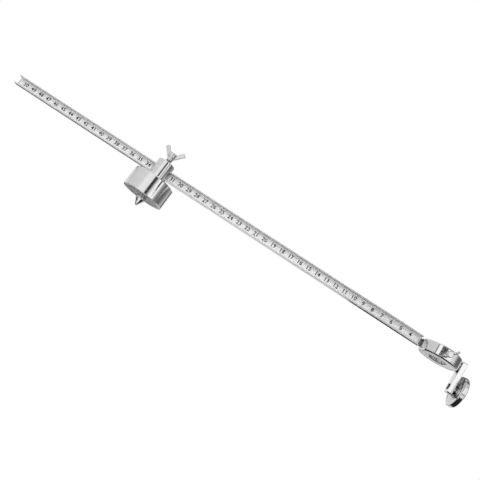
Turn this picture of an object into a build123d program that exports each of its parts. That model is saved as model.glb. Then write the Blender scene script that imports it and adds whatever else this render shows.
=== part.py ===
from build123d import *
import math
import os

# A guide for cutting circles with a torch. A magnetic base with a sprung centre point carries
# a neck that turns. A scaled bar slides through the neck and holds the torch ring and a wheel.
# The bar lies along X, its scale faces -Y, and the pivot axis is Z. The origin is the tip of
# the centre point. Lengths are millimetres, angles are degrees.

# Fits and cutting allowance
overrun = 1.0
running_gap = 0.05
fixed_gap = 0.02
washer_gap = 0.1

# Layout
set_radius = 315.0
point_reach = 10.6

# Base housing
base_radius = 22.0
base_height = 21.5
base_roof = 3.2
base_top_chamfer = 1.1
base_foot_chamfer = 0.4
clip_room_radius = 8.6

# Ring magnet in the base
magnet_radius = 18.0
magnet_bore_radius = 8.0
magnet_height = 8.0
magnet_recess = 0.2
magnet_chamfer = 0.4

# Sleeve that guides the centre point
sleeve_flange_radius = 9.9
sleeve_flange_height = 1.4
sleeve_guide_height = 4.4
sleeve_clip_gap = 0.8

# Centre point
point_radius = 5.0
point_tip_radius = 0.7
point_cone_height = 7.4
point_nose = 1.6
point_flange_radius = 6.5
point_flange_height = 1.5
point_stop_gap = 0.3

# Spring behind the centre point
spring_bore_radius = 3.5
spring_wire_radius = 0.3
spring_wire_sides = 6
spring_side_gap = 0.3
spring_end_gap = 0.1
spring_turns = 7

# Neck with its hollow spigot
neck_radius = 9.25
neck_height = 19.7
neck_floor = 3.2
neck_top_chamfer = 0.7
spigot_radius = 5.0
spigot_lip = 0.5
spring_roof = 1.1
slot_side_gap = 0.15
slot_floor_gap = 0.1
slot_roof_gap = 0.2

# Bush, clip and thrust washer of the swivel
bush_wall = 1.45
clip_height = 0.6
clip_radius = 7.0
clip_groove_depth = 0.7
clip_play = 0.1
clip_mouth_angle = 70.0
thrust_washer_height = 0.8
thrust_washer_radius = 8.6

# Scaled bar
bar_height = 10.4
bar_depth = 6.0
bar_wall = 1.1
bar_length = 479.5
bar_back_fillet = 0.7
bar_edge_fillet = 0.25

# Scale tape inside the bar
tape_thickness = 0.3
tape_height = 7.9
tape_end_inset = 1.75

# Torch ring and its tongue
ring_radius = 18.4
ring_bore_radius = 8.25
ring_height = 11.4
ring_drop = 1.0
ring_top_chamfer = 1.2
ring_foot_chamfer = 1.0
ring_bore_chamfer = 0.5
ring_bar_gap = 2.3
ring_flat_depth = 0.6
ring_flat_radius = 4.6
tongue_length = 18.3
tongue_height = 8.0
tongue_thickness = 2.5
tongue_corner = 1.5

# Tongue screws
tongue_screw_radius = 1.5
tongue_screw_head_radius = 2.75
tongue_screw_head_height = 1.65
tongue_screw_pitch = 8.5
tongue_screw_inset = 4.8
tongue_socket_across = 2.0
tongue_socket_depth = 0.9

# Wheel bracket
bracket_thickness = 4.7
bracket_width = 8.0
bracket_head = 5.9
bracket_foot = 5.8
bracket_end_fillet = 1.2
bracket_edge_chamfer = 0.35

# Toothed washer and screw between ring and bracket
tooth_washer_thickness = 1.5
tooth_washer_radius = 4.5
tooth_depth = 0.6
tooth_count = 16
bracket_screw_radius = 2.0
bracket_screw_depth = 7.0
bracket_screw_head_radius = 3.5
bracket_screw_head_height = 2.4
bracket_socket_across = 2.5
bracket_socket_depth = 1.3
screw_hole_end = 0.5

# Wheel
wheel_radius = 14.9
wheel_width = 4.4
wheel_edge_chamfer = 0.6
wheel_recess_depth = 0.3
wheel_recess_inner_radius = 8.8
wheel_recess_outer_radius = 12.6
wheel_drop = 19.8

# Wheel bearing
bearing_radius = 7.5
bearing_bore_radius = 3.0
bearing_width = 5.0
bearing_inner_wall = 1.3
bearing_outer_wall = 1.3
bearing_edge_chamfer = 0.25
ball_radius = 1.2
ball_count = 7
ball_sides = 12
ball_bands = 6
ball_track_sides = 8
shield_thickness = 0.25
shield_inset = 0.2
shield_gap = 0.15

# Axle bolt, spacer and washer
axle_bolt_end_recess = 1.4
axle_head_radius = 5.0
axle_head_height = 3.4
axle_head_chamfer = 0.7
axle_socket_across = 4.0
axle_socket_depth = 1.9
axle_spacer_radius = 4.0
axle_spacer_length = 2.0
axle_washer_radius = 4.0
axle_washer_thickness = 0.5

# Clamp screw on the neck, with its tip
clamp_stem_radius = 2.5
clamp_stand = 2.9
clamp_collar_radius = 3.25
clamp_collar_height = 3.5
clamp_hub_radius = 4.35
clamp_hub_height = 5.6
clamp_ear_angle = 48.0
clamp_ear_reach = 10.6
clamp_ear_width = 4.5
clamp_ear_thickness = 2.0
clamp_ear_corner = 1.0
clamp_ear_rise = 2.0
clamp_tip_radius = 2.0
clamp_tip_height = 1.4
clamp_tip_stud_radius = 1.0
clamp_tip_stud_height = 1.4
clamp_tip_gap = 0.05
clamp_hub_chamfer = 0.6

# Torch screw in the ring, with its tip
torch_stem_radius = 2.0
torch_stand = 2.0
torch_collar_radius = 2.6
torch_collar_height = 1.2
torch_hub_radius = 3.0
torch_hub_height = 3.6
torch_ear_angle = 42.0
torch_ear_reach = 7.0
torch_ear_width = 3.4
torch_ear_thickness = 2.0
torch_ear_corner = 0.9
torch_ear_rise = 0.9
torch_wing_turn = 45.0
torch_tip_radius = 1.5
torch_tip_height = 1.2
torch_tip_stud_radius = 0.8
torch_tip_stud_height = 1.2
torch_tip_recess = 0.4
torch_hub_chamfer = 0.4

# Heights that follow from the stack of pieces on the pivot axis
base_bottom = point_reach
base_top = base_bottom + base_height
bush_bottom = base_top - base_roof
clip_top = bush_bottom - clip_play
clip_bottom = clip_top - clip_height
spigot_bottom = clip_bottom - spigot_lip
magnet_bottom = base_bottom + magnet_recess
magnet_top = magnet_bottom + magnet_height
sleeve_flange_top = magnet_top + sleeve_flange_height
sleeve_top = clip_bottom - sleeve_clip_gap
point_seat = magnet_bottom + sleeve_guide_height
point_top = point_seat + point_flange_height
neck_bottom = base_top + thrust_washer_height
slot_bottom = neck_bottom + neck_floor
bar_bottom = slot_bottom + slot_floor_gap
bar_centre = bar_bottom + bar_height / 2
bar_top = bar_bottom + bar_height
slot_top = bar_top + slot_roof_gap
neck_top = neck_bottom + neck_height
spring_bottom = point_cone_height + point_nose
spring_top = slot_bottom - spring_roof

# Places along the bar
bar_right = set_radius - ring_radius - ring_bar_gap
bar_left = bar_right - bar_length
tape_length = bar_length - tape_end_inset * 2
web_front = bar_depth / 2 - bar_wall
web_back = bar_depth / 2
tongue_back = web_back + tongue_thickness
tongue_left = bar_right - tongue_length
ring_centre = bar_centre - ring_drop
ring_bottom = ring_centre - ring_height / 2
ring_flat = set_radius + ring_radius - ring_flat_depth
bracket_left = ring_flat + tooth_washer_thickness
bracket_right = bracket_left + bracket_thickness
wheel_centre = ring_centre - wheel_drop
bearing_left = bracket_right + axle_spacer_length
bearing_right = bearing_left + bearing_width
wheel_left = (bearing_left + bearing_right - wheel_width) / 2
axle_head_left = bearing_right + axle_washer_thickness

upward = (Align.CENTER, Align.CENTER, Align.MIN)


# A cylinder that stands on the height given as bottom.
def post(radius, height, bottom):
    return Pos(0, 0, bottom) * Cylinder(radius, height, align=upward)


# A solid turned about Z from a closed outline of radius and height.
def turned(*points):
    outline = make_face(Plane.XZ * Polyline(*points, close=True))
    return revolve(outline, Axis.Z)


# Turns a solid made along Z so that it lies along X, from a place on the pivot plane.
def along_x(solid, x, z):
    return Pos(x, 0, z) * Rot(0, 90, 0) * solid


# Turns a solid made along Z so that it points at the viewer, outwards from the torch axis.
def towards_viewer(solid, turn):
    return Pos(set_radius, 0, ring_centre) * Rot(90, 0, 0) * Rot(0, 0, turn) * solid


# A hexagon socket that is sunk into a face at the given height, for a key of this width.
def socket(across, depth, top):
    hexagon = RegularPolygon(across / 2, 6, major_radius=False)
    return Pos(0, 0, top - depth) * extrude(hexagon, depth + overrun)


# A round screw with a sloped socket head, its head's underside at zero and its shank below.
def socket_screw(radius, length, head_radius, head_height, across, depth):
    slope = min(head_height, head_radius) / 2
    screw = turned(
        (0, -length), (radius, -length), (radius, 0), (head_radius, 0),
        (head_radius, head_height - slope), (head_radius - slope, head_height), (0, head_height)
    )
    return screw - socket(across, depth, head_height)


# Collar, hub and two slanting ears of a wing screw, its collar standing on zero.
def wing_head(collar, collar_height, hub, hub_height, hub_chamfer, angle, reach, width, thickness,
              corner, rise):
    top = collar_height + hub_height
    body = turned(
        (0, 0), (collar, 0), (collar, collar_height), (hub, collar_height + hub_chamfer),
        (hub, top - hub_chamfer), (hub - hub_chamfer, top), (0, top)
    )
    run = reach / math.cos(math.radians(angle))
    start = collar / 2
    ear_plan = RectangleRounded(run - start, width, corner)
    ear_flat = extrude(Plane.XZ * ear_plan, thickness / 2, both=True)
    ear = Pos(0, 0, rise) * Rot(0, -angle, 0) * Pos((run + start) / 2, 0, 0) * ear_flat
    return body + ear + Rot(0, 0, 180) * ear


def make_base_housing():
    pocket = magnet_radius + running_gap
    flange_seat = sleeve_flange_radius + running_gap
    bush_seat = spigot_radius + running_gap + bush_wall + fixed_gap
    return turned(
        (pocket, base_bottom), (base_radius - base_foot_chamfer, base_bottom),
        (base_radius, base_bottom + base_foot_chamfer), (base_radius, base_top - base_top_chamfer),
        (base_radius - base_top_chamfer, base_top), (bush_seat, base_top), (bush_seat, bush_bottom),
        (clip_room_radius, bush_bottom), (clip_room_radius, sleeve_flange_top),
        (flange_seat, sleeve_flange_top), (flange_seat, magnet_top), (pocket, magnet_top)
    )


def make_swivel_bush():
    bore = spigot_radius + running_gap
    return post(bore + bush_wall, base_roof, bush_bottom) - post(bore, base_roof, bush_bottom)


def make_ring_magnet():
    outer = magnet_radius
    inner = magnet_bore_radius
    low = magnet_bottom
    return turned(
        (inner + magnet_chamfer, low), (outer - magnet_chamfer, low), (outer, low + magnet_chamfer),
        (outer, magnet_top), (inner, magnet_top), (inner, low + magnet_chamfer)
    )


def make_guide_sleeve():
    guide = point_radius + running_gap
    room = point_flange_radius + running_gap * 2
    outer = magnet_bore_radius - running_gap
    return turned(
        (guide, magnet_bottom), (outer, magnet_bottom), (outer, magnet_top),
        (sleeve_flange_radius, magnet_top), (sleeve_flange_radius, sleeve_flange_top),
        (outer, sleeve_flange_top), (outer, sleeve_top), (room, sleeve_top), (room, point_seat),
        (guide, point_seat)
    )


def make_centre_point():
    return turned(
        (0, 0), (point_tip_radius, 0), (point_radius, point_cone_height), (point_radius, point_seat),
        (point_flange_radius, point_seat), (point_flange_radius, point_top),
        (spring_bore_radius, point_top), (spring_bore_radius, spring_bottom), (0, spring_bottom)
    )


# One wire from the floor of the point's bore to the roof of the spigot's bore. It has flat sides,
# because nothing shows it.
def make_point_spring():
    coil_radius = spring_bore_radius - spring_side_gap - spring_wire_radius
    low = spring_bottom + spring_end_gap + spring_wire_radius
    high = spring_top - spring_end_gap - spring_wire_radius
    pitch = (high - low) / spring_turns
    path = Pos(0, 0, low) * Helix(pitch, high - low, coil_radius)
    wire = RegularPolygon(spring_wire_radius, spring_wire_sides)
    section = Plane(origin=path @ 0, z_dir=path % 0) * wire
    print("spring gap between turns", round(pitch - spring_wire_radius * 2, 3))
    return sweep(section, path=path, is_frenet=True)


def make_neck_block():
    body = turned(
        (0, spring_top), (spring_bore_radius, spring_top), (spring_bore_radius, spigot_bottom),
        (spigot_radius, spigot_bottom), (spigot_radius, neck_bottom), (neck_radius, neck_bottom),
        (neck_radius, neck_top - neck_top_chamfer), (neck_radius - neck_top_chamfer, neck_top),
        (0, neck_top)
    )
    groove_height = clip_height + fixed_gap * 2
    groove_root = spigot_radius - clip_groove_depth
    groove = post(spigot_radius + overrun, groove_height, clip_bottom - fixed_gap)
    groove = groove - post(groove_root, groove_height, clip_bottom - fixed_gap)
    slot_depth = bar_depth + slot_side_gap * 2
    slot = Box((neck_radius + overrun) * 2, slot_depth, slot_top - slot_bottom, align=upward)
    hole = post(clamp_stem_radius + running_gap, neck_height, slot_top)
    return body - groove - Pos(0, 0, slot_bottom) * slot - hole


# An open ring whose mouth faces away from the viewer.
def make_spindle_clip():
    inner = spigot_radius - clip_groove_depth + fixed_gap
    ring = post(clip_radius, clip_height, clip_bottom) - post(inner, clip_height, clip_bottom)
    reach = clip_radius + overrun
    half_mouth = reach * math.tan(math.radians(clip_mouth_angle / 2))
    mouth = make_face(Polyline((0, 0), (half_mouth, reach), (-half_mouth, reach), close=True))
    return ring - Pos(0, 0, clip_bottom) * extrude(mouth, clip_height)


def make_thrust_washer():
    bore = spigot_radius + washer_gap
    washer = post(thrust_washer_radius, thrust_washer_height, base_top)
    return washer - post(bore, thrust_washer_height, base_top)


# A tip that rests on what the screw clamps, with a stud that sits in the screw's end.
def screw_tip(radius, height, stud_radius, stud_height):
    return post(radius, height, 0) + post(stud_radius, stud_height, height)


# A wing screw whose stem stands on zero, bored for the stud of its tip.
def wing_screw(stem, stem_length, stud_radius, stud_height, head):
    bore = post(stud_radius + running_gap, stud_height + running_gap, 0)
    return post(stem, stem_length, 0) + Pos(0, 0, stem_length) * head - bore


def make_clamp_tip():
    tip = screw_tip(clamp_tip_radius, clamp_tip_height, clamp_tip_stud_radius, clamp_tip_stud_height)
    return Pos(0, 0, bar_top + clamp_tip_gap) * tip


def make_clamp_screw():
    foot = bar_top + clamp_tip_gap + clamp_tip_height
    head = wing_head(
        clamp_collar_radius, clamp_collar_height, clamp_hub_radius, clamp_hub_height,
        clamp_hub_chamfer, clamp_ear_angle, clamp_ear_reach, clamp_ear_width, clamp_ear_thickness,
        clamp_ear_corner, clamp_ear_rise
    )
    stem_length = neck_top + clamp_stand - foot
    screw = wing_screw(
        clamp_stem_radius, stem_length, clamp_tip_stud_radius, clamp_tip_stud_height, head
    )
    return Pos(0, 0, foot) * screw


# A U section that is open towards the viewer.
def make_scale_bar():
    inner_height = bar_height - bar_wall * 2
    outer = Pos(0, bar_centre) * Rectangle(bar_depth, bar_height)
    inner = Pos(-bar_wall, bar_centre) * Rectangle(bar_depth, inner_height)
    section = outer - inner
    back = section.vertices().group_by(Axis.X)[-1]
    section = fillet(back, bar_back_fillet)
    front = section.vertices().group_by(Axis.X)[0]
    section = fillet(front, bar_edge_fillet)
    bar = extrude(Plane.YZ.offset(bar_left) * section, bar_length)
    holes = [
        Pos(x, web_back, bar_centre) * Rot(90, 0, 0)
        * Cylinder(tongue_screw_radius + fixed_gap, bar_wall * 2 + overrun)
        for x in tongue_screw_places()
    ]
    return bar - holes


def make_scale_tape():
    tape = Box(tape_length, tape_thickness, tape_height)
    middle = (bar_left + bar_right) / 2
    return Pos(middle, web_front - tape_thickness / 2, bar_centre) * tape


def tongue_screw_places():
    first = tongue_left + tongue_screw_inset
    return [first, first + tongue_screw_pitch]


# The ring, with its tongue behind the bar's end and a flat for the toothed washer.
def make_torch_ring():
    top = ring_bottom + ring_height
    body = turned(
        (0, ring_bottom), (ring_radius - ring_foot_chamfer, ring_bottom),
        (ring_radius, ring_bottom + ring_foot_chamfer), (ring_radius, top - ring_top_chamfer),
        (ring_radius - ring_top_chamfer, top), (0, top)
    )
    bore = turned(
        (0, ring_bottom), (ring_bore_radius + ring_bore_chamfer, ring_bottom),
        (ring_bore_radius, ring_bottom + ring_bore_chamfer), (ring_bore_radius, top - ring_bore_chamfer),
        (ring_bore_radius + ring_bore_chamfer, top), (0, top)
    )
    reach = set_radius - tongue_left
    plan = RectangleRounded(reach, tongue_height, tongue_corner)
    plate = extrude(Plane.XZ * plan, -tongue_thickness)
    tongue = Pos(set_radius - reach / 2, web_back, bar_centre) * plate
    flat = along_x(Cylinder(ring_flat_radius, overrun * 2, align=upward), ring_flat, ring_centre)
    screw_end = set_radius + ring_radius - bracket_screw_depth - screw_hole_end
    screw_hole = Cylinder(bracket_screw_radius + fixed_gap, ring_radius, align=upward)
    torch_hole = Cylinder(torch_stem_radius + running_gap, ring_radius + overrun, align=upward)
    ring = Pos(set_radius, 0, 0) * body + tongue
    ring = ring - Pos(set_radius, 0, 0) * bore - flat - along_x(screw_hole, screw_end, ring_centre)
    ring = ring - towards_viewer(torch_hole, 0)
    holes = [
        Pos(x, tongue_back, bar_centre) * Rot(90, 0, 0)
        * Cylinder(tongue_screw_radius + washer_gap, tongue_thickness * 2 + overrun)
        for x in tongue_screw_places()
    ]
    return ring - holes


def make_tongue_screws():
    length = tongue_back - web_front
    screw = socket_screw(
        tongue_screw_radius, length, tongue_screw_head_radius, tongue_screw_head_height,
        tongue_socket_across, tongue_socket_depth
    )
    return [Pos(x, tongue_back, bar_centre) * Rot(-90, 0, 0) * screw for x in tongue_screw_places()]


def make_wheel_bracket():
    top = ring_centre + bracket_head
    bottom = wheel_centre - bracket_foot
    bar = Box(bracket_thickness, bracket_width, top - bottom)
    bar = fillet(bar.edges().filter_by(Axis.X), bracket_end_fillet)
    faces = bar.faces().filter_by(Axis.X)
    bar = chamfer(faces.edges(), bracket_edge_chamfer)
    bar = Pos((bracket_left + bracket_right) / 2, 0, (top + bottom) / 2) * bar
    through = bracket_thickness + overrun * 2
    start = bracket_left - overrun
    screw_hole = Cylinder(bracket_screw_radius + washer_gap, through, align=upward)
    axle_hole = Cylinder(bearing_bore_radius - fixed_gap, through, align=upward)
    return bar - along_x(screw_hole, start, ring_centre) - along_x(axle_hole, start, wheel_centre)


# A washer whose rim is cut into teeth.
def make_bracket_washer():
    half_step = math.pi / tooth_count
    points = []
    for step in range(tooth_count * 2):
        radius = tooth_washer_radius - tooth_depth * (step % 2)
        points.append((radius * math.cos(step * half_step), radius * math.sin(step * half_step)))
    plate = extrude(make_face(Polyline(*points, close=True)), tooth_washer_thickness)
    washer = plate - post(bracket_screw_radius + washer_gap, tooth_washer_thickness, 0)
    return along_x(washer, ring_flat, ring_centre)


def make_bracket_screw():
    length = bracket_right - (set_radius + ring_radius - bracket_screw_depth)
    screw = socket_screw(
        bracket_screw_radius, length, bracket_screw_head_radius, bracket_screw_head_height,
        bracket_socket_across, bracket_socket_depth
    )
    return along_x(screw, bracket_right, ring_centre)


def axle_radius():
    return bearing_bore_radius - fixed_gap * 2


def make_axle_bolt():
    length = axle_head_left - bracket_left - axle_bolt_end_recess
    edge = axle_head_chamfer
    bolt = turned(
        (0, -length), (axle_radius(), -length), (axle_radius(), 0), (axle_head_radius, 0),
        (axle_head_radius, axle_head_height - edge), (axle_head_radius - edge, axle_head_height),
        (0, axle_head_height)
    )
    bolt = bolt - socket(axle_socket_across, axle_socket_depth, axle_head_height)
    return along_x(bolt, axle_head_left, wheel_centre)


# A plain ring on the axle, from its left face.
def axle_ring(radius, length, left):
    ring = post(radius, length, 0) - post(bearing_bore_radius, length, 0)
    return along_x(ring, left, wheel_centre)


def make_axle_spacer():
    return axle_ring(axle_spacer_radius, axle_spacer_length, bracket_right)


def make_axle_washer():
    return axle_ring(axle_washer_radius, axle_washer_thickness, bearing_right)


# The circle of ball centres lies midway between the two races.
def ball_circle_radius():
    inner = bearing_bore_radius + bearing_inner_wall
    outer = bearing_radius - bearing_outer_wall
    return (inner + outer) / 2


# The ring that the balls run in, with flat sides because the shields hide it.
def ball_track():
    ring = RegularPolygon(ball_radius + running_gap, ball_track_sides, major_radius=False)
    section = Plane.XZ * Pos(ball_circle_radius(), bearing_width / 2) * ring
    return revolve(section, Axis.Z)


# One race of the bearing, from its inner to its outer radius, with its track.
def bearing_race(inner, outer):
    edge = bearing_edge_chamfer
    race = turned(
        (inner + edge, 0), (outer - edge, 0), (outer, edge), (outer, bearing_width - edge),
        (outer - edge, bearing_width), (inner + edge, bearing_width), (inner, bearing_width - edge),
        (inner, edge)
    )
    return along_x(race - ball_track(), bearing_left, wheel_centre)


def make_bearing_inner_race():
    return bearing_race(bearing_bore_radius, bearing_bore_radius + bearing_inner_wall)


def make_bearing_outer_race():
    return bearing_race(bearing_radius - bearing_outer_wall, bearing_radius)


# A ball of flat facets, in bands from pole to pole.
def faceted_ball():
    sections = [Vertex(0, 0, -ball_radius)]
    for band in range(1, ball_bands):
        angle = math.pi * band / ball_bands
        ring = RegularPolygon(ball_radius * math.sin(angle), ball_sides)
        sections.append(Pos(0, 0, -ball_radius * math.cos(angle)) * ring)
    sections.append(Vertex(0, 0, ball_radius))
    return loft(sections, ruled=True)


def make_bearing_balls():
    middle = (bearing_left + bearing_right) / 2
    ball = Pos(0, ball_circle_radius(), 0) * faceted_ball()
    turn = 360 / ball_count
    return [Pos(middle, 0, wheel_centre) * Rot(turn * k, 0, 0) * ball for k in range(ball_count)]


def make_bearing_shields():
    inner = bearing_bore_radius + bearing_inner_wall + shield_gap
    outer = bearing_radius - bearing_outer_wall - fixed_gap
    shield = post(outer, shield_thickness, 0) - post(inner, shield_thickness, 0)
    right = bearing_right - shield_inset - shield_thickness
    return [
        along_x(shield, bearing_left + shield_inset, wheel_centre),
        along_x(shield, right, wheel_centre)
    ]


# A disc with a shallow turned recess in each face.
def make_wheel_rim():
    bore = bearing_radius + fixed_gap
    outer = wheel_radius
    edge = wheel_edge_chamfer
    step = wheel_recess_depth
    far = wheel_width
    rim = turned(
        (bore, 0), (wheel_recess_inner_radius, 0), (wheel_recess_inner_radius, step),
        (wheel_recess_outer_radius, step), (wheel_recess_outer_radius, 0), (outer - edge, 0),
        (outer, edge), (outer, far - edge), (outer - edge, far), (wheel_recess_outer_radius, far),
        (wheel_recess_outer_radius, far - step), (wheel_recess_inner_radius, far - step),
        (wheel_recess_inner_radius, far), (bore, far)
    )
    return along_x(rim, wheel_left, wheel_centre)


# How far the torch tip's face lies from the torch axis while the screw is backed off.
def torch_tip_start():
    return ring_bore_radius + torch_tip_recess


def make_torch_tip():
    tip = screw_tip(torch_tip_radius, torch_tip_height, torch_tip_stud_radius, torch_tip_stud_height)
    return towards_viewer(Pos(0, 0, torch_tip_start()) * tip, 0)


def make_torch_screw():
    foot = torch_tip_start() + torch_tip_height
    head = wing_head(
        torch_collar_radius, torch_collar_height, torch_hub_radius, torch_hub_height,
        torch_hub_chamfer, torch_ear_angle, torch_ear_reach, torch_ear_width, torch_ear_thickness,
        torch_ear_corner, torch_ear_rise
    )
    stem_length = ring_radius + torch_stand - foot
    screw = wing_screw(
        torch_stem_radius, stem_length, torch_tip_stud_radius, torch_tip_stud_height, head
    )
    return towards_viewer(Pos(0, 0, foot) * screw, torch_wing_turn)


makers = {
    "base_housing": make_base_housing,
    "swivel_bush": make_swivel_bush,
    "ring_magnet": make_ring_magnet,
    "guide_sleeve": make_guide_sleeve,
    "point_spring": make_point_spring,
    "centre_point": make_centre_point,
    "neck_block": make_neck_block,
    "spindle_clip": make_spindle_clip,
    "thrust_washer": make_thrust_washer,
    "clamp_tip": make_clamp_tip,
    "clamp_screw": make_clamp_screw,
    "scale_bar": make_scale_bar,
    "scale_tape": make_scale_tape,
    "torch_ring": make_torch_ring,
    "tongue_screws": make_tongue_screws,
    "wheel_bracket": make_wheel_bracket,
    "bracket_washer": make_bracket_washer,
    "bracket_screw": make_bracket_screw,
    "axle_bolt": make_axle_bolt,
    "axle_spacer": make_axle_spacer,
    "axle_washer": make_axle_washer,
    "bearing_inner_race": make_bearing_inner_race,
    "bearing_outer_race": make_bearing_outer_race,
    "bearing_balls": make_bearing_balls,
    "bearing_shields": make_bearing_shields,
    "wheel_rim": make_wheel_rim,
    "torch_tip": make_torch_tip,
    "torch_screw": make_torch_screw,
}

print("point travel", round(spigot_bottom - point_top - point_stop_gap, 3))
os.makedirs("parts", exist_ok=True)
for name, maker in makers.items():
    made = maker()
    if isinstance(made, list):
        made = Compound(children=made)
    export_step(made, f"parts/{name}.step")
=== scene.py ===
import bmesh
import bpy
import math
import numpy as np
from mathutils import Matrix, Vector


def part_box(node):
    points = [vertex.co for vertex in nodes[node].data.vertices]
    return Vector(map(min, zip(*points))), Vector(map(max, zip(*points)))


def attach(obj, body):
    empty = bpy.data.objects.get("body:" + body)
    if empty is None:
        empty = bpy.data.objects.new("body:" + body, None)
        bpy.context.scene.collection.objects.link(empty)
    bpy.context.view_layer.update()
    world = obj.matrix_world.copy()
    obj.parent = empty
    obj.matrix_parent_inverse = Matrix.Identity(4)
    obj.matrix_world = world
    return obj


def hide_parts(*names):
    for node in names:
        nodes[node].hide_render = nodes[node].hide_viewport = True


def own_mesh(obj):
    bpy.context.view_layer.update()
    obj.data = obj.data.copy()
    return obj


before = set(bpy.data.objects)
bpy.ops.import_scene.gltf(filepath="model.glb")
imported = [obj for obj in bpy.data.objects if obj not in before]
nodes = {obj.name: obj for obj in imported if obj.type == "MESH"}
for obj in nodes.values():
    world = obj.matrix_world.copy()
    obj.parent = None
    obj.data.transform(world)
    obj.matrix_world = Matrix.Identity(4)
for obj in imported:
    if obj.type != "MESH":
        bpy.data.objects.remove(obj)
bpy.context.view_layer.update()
scene = bpy.context.scene
print("frame loaded with", len(nodes), "pieces")

mm = 0.001
fullTurn = 2 * math.pi


# Feeds a node's sockets: another node's output is linked, and a plain value is written in.
def feed(tree, node, sockets):
    for name, value in sockets.items():
        socket = node.inputs[name]
        if hasattr(value, "is_output"):
            tree.links.new(value, socket)
        elif socket.type == "RGBA":
            socket.default_value = (*value, 1.0)
        else:
            socket.default_value = value


def addNode(tree, kind, sockets, **settings):
    node = tree.nodes.new(kind)
    for name, value in settings.items():
        setattr(node, name, value)
    feed(tree, node, sockets)
    return node


def mathNode(tree, operation, *values, clamp=False):
    sockets = dict(enumerate(values))
    return addNode(tree, "ShaderNodeMath", sockets, operation=operation, use_clamp=clamp).outputs[0]


# The parts X, Y and Z of a place.
def splitNode(tree, place):
    return addNode(tree, "ShaderNodeSeparateXYZ", {0: place}).outputs


def mixColour(tree, factor, first, second):
    sockets = {"Factor": factor, "A": first, "B": second}
    return addNode(tree, "ShaderNodeMix", sockets, data_type="RGBA").outputs["Result"]


def emptyTree(owner):
    owner.use_nodes = True
    owner.node_tree.nodes.clear()
    return owner.node_tree


def shadedMaterial(name):
    material = bpy.data.materials.new(name)
    material.use_nodes = True
    return material, material.node_tree, material.node_tree.nodes["Principled BSDF"]


# How something stands that looks from its place to its aim, with a roll where it has one.
def lookingMatrix(values):
    place = Vector(values["place"])
    ahead = Vector(values["aim"]) - place
    roll = Matrix.Rotation(math.radians(values.get("rollDegrees", 0.0)), 4, "Z")
    return Matrix.Translation(place) @ ahead.to_track_quat("-Z", "Y").to_matrix().to_4x4() @ roll


# The camera looks up at the bar from a little below, and is rolled so that the bar slopes down.
cameraSettings = {
    "place": (0.1751, -0.4666, -0.0627), "aim": (0.1050, 0.0, 0.0279), "rollDegrees": 34.86,
    "lensMm": 37.5, "sensorMm": 36.0, "nearest": 0.01,
}


def makeCamera():
    data = bpy.data.cameras.new("camera")
    data.lens = cameraSettings["lensMm"]
    data.sensor_width = cameraSettings["sensorMm"]
    data.clip_start = cameraSettings["nearest"]
    camera = bpy.data.objects.new("camera", data)
    camera.matrix_world = lookingMatrix(cameraSettings)
    scene.collection.objects.link(camera)
    scene.camera = camera
    scene.view_settings.view_transform = "Standard"


worldSettings = {
    "diffuseLevel": 0.55,
    # Share of a turn from straight behind, over the left, the viewer and the right, then the level
    # that polished metal reflects from there.
    "reflected": [
        (0.00, 0.82), (0.10, 0.82), (0.25, 0.66), (0.36, 0.70), (0.42, 0.72), (0.46, 0.92),
        (0.538, 0.86), (0.549, 0.03), (0.580, 0.05), (0.606, 0.80), (0.690, 0.72), (0.715, 0.30),
        (0.750, 0.13), (0.82, 0.14), (0.87, 0.36), (0.915, 0.50), (0.93, 0.10), (0.965, 0.10),
        (0.98, 0.82),
    ],
}


# White for the camera, a plain level for matt light, and bands by compass direction for metal.
def makeWorld():
    scene.world = bpy.data.worlds.new("studio")
    tree = emptyTree(scene.world)
    place = splitNode(tree, addNode(tree, "ShaderNodeTexCoord", {}).outputs["Generated"])
    towards = mathNode(tree, "MULTIPLY", place["Y"], -1.0)
    turn = mathNode(tree, "ARCTAN2", place["X"], towards)
    ramp = addNode(tree, "ShaderNodeValToRGB", {0: mathNode(tree, "MULTIPLY_ADD", turn, 1 / fullTurn, 0.5)})
    stops = ramp.color_ramp.elements
    while len(stops) > 1:
        stops.remove(stops[0])
    for k, (at, level) in enumerate(worldSettings["reflected"]):
        stop = stops[0] if k == 0 else stops.new(at)
        stop.position = at
        stop.color = (level, level, level, 1.0)
    rays = addNode(tree, "ShaderNodeLightPath", {}).outputs
    shiny = mathNode(tree, "MAXIMUM", rays["Is Glossy Ray"], rays["Is Transmission Ray"])
    matt = mixColour(tree, shiny, (worldSettings["diffuseLevel"],) * 3, ramp.outputs[0])
    seen = mixColour(tree, rays["Is Camera Ray"], matt, (1.0, 1.0, 1.0))
    background = addNode(tree, "ShaderNodeBackground", {"Color": seen})
    addNode(tree, "ShaderNodeOutputWorld", {0: background.outputs[0]})


def makeMesh(name, points, faces, material=None):
    mesh = bpy.data.meshes.new(name)
    mesh.from_pydata(np.asarray(points, float).tolist(), [], [tuple(int(i) for i in f) for f in faces])
    piece = bpy.data.objects.new(name, mesh)
    scene.collection.objects.link(piece)
    if material:
        mesh.materials.append(material)
    return piece


def rectangle(low, high, height):
    (x, y), (farX, farY) = low, high
    return [(x, y, height), (farX, y, height), (farX, farY, height), (x, farY, height)]


floorSettings = {"height": -0.16, "halfSize": 4.0, "colour": (0.74, 0.74, 0.74), "rough": 0.9, "lift": 0.75,
                 "glossyLift": 0.10}


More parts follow.
